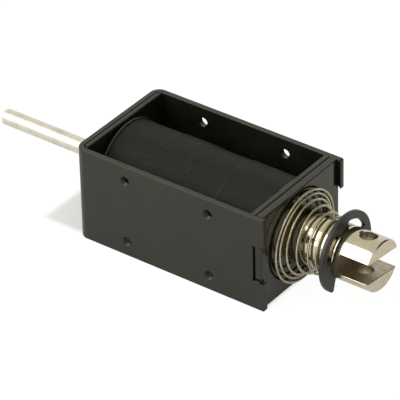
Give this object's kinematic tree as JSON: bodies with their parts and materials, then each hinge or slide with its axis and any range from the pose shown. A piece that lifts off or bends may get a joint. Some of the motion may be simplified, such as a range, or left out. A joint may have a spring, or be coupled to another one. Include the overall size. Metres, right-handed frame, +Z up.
{
  "type": "push pull solenoid",
  "caption": "Open-frame push-pull solenoid: taped coil in a bent steel frame, forked plunger with clip and conical return spring in front, push rod behind.",
  "frame": {"origin": "below the middle of the whole length, on the plane of the frame's lower edges, in the symmetry plane", "axes": "+X along the plunger axis towards the fork, +Z up along the height of the strip, +Y across the frame"},
  "size_m": [0.162, 0.047, 0.0368],
  "materials": {
    "black_satin": "satin black coat on bent steel strip",
    "black_gloss": "glossier black coat on the front plate",
    "bare_steel": "turned iron",
    "brass": "turned or drawn brass",
    "stainless": "thin rolled stainless",
    "fibre": "pressed fibre board",
    "nylon": "moulded nylon",
    "copper_wire": "enamelled copper wire",
    "tape": "matt black cloth tape",
    "spring_wire": "nickel-plated spring wire, slightly yellow",
    "black_oxide": "black oxide",
    "nickel_plate": "bright nickel plate, milled marks in the fork",
    "satin_nickel": "satin nickel plate"
  },
  "bodies": {
    "frame": {"frame": "black_satin", "rear_plate": "black_satin", "front_inner_plate": "black_satin", "front_plate": "black_gloss", "fixed_pole": "bare_steel", "rod_bush": "brass", "shim_washer": "stainless", "guide_tube": "brass", "fibre_washer": "fibre", "bobbin": "nylon", "winding": "copper_wire", "tape_band_1": "tape", "tape_band_2": "tape", "tape_band_3": "tape", "tape_band_4": "tape", "return_spring": "spring_wire"},
    "clip": {"retaining_clip": "black_oxide"},
    "plunger": {"plunger": "nickel_plate", "push_rod": "satin_nickel"}
  },
  "joints": [
    {"name": "plunger_slide", "type": "slide", "parent": "frame", "child": "clip", "axis": [1, 0, 0], "range_m": [-0.014, 0], "stiffness_N_per_m": 300, "deforming": ["return_spring"]},
    {"name": "plunger_turn", "type": "hinge", "parent": "clip", "child": "plunger", "pos_m": [0.06585, 0, 0.0184], "axis": [1, 0, 0], "continuous": true}
  ]
}
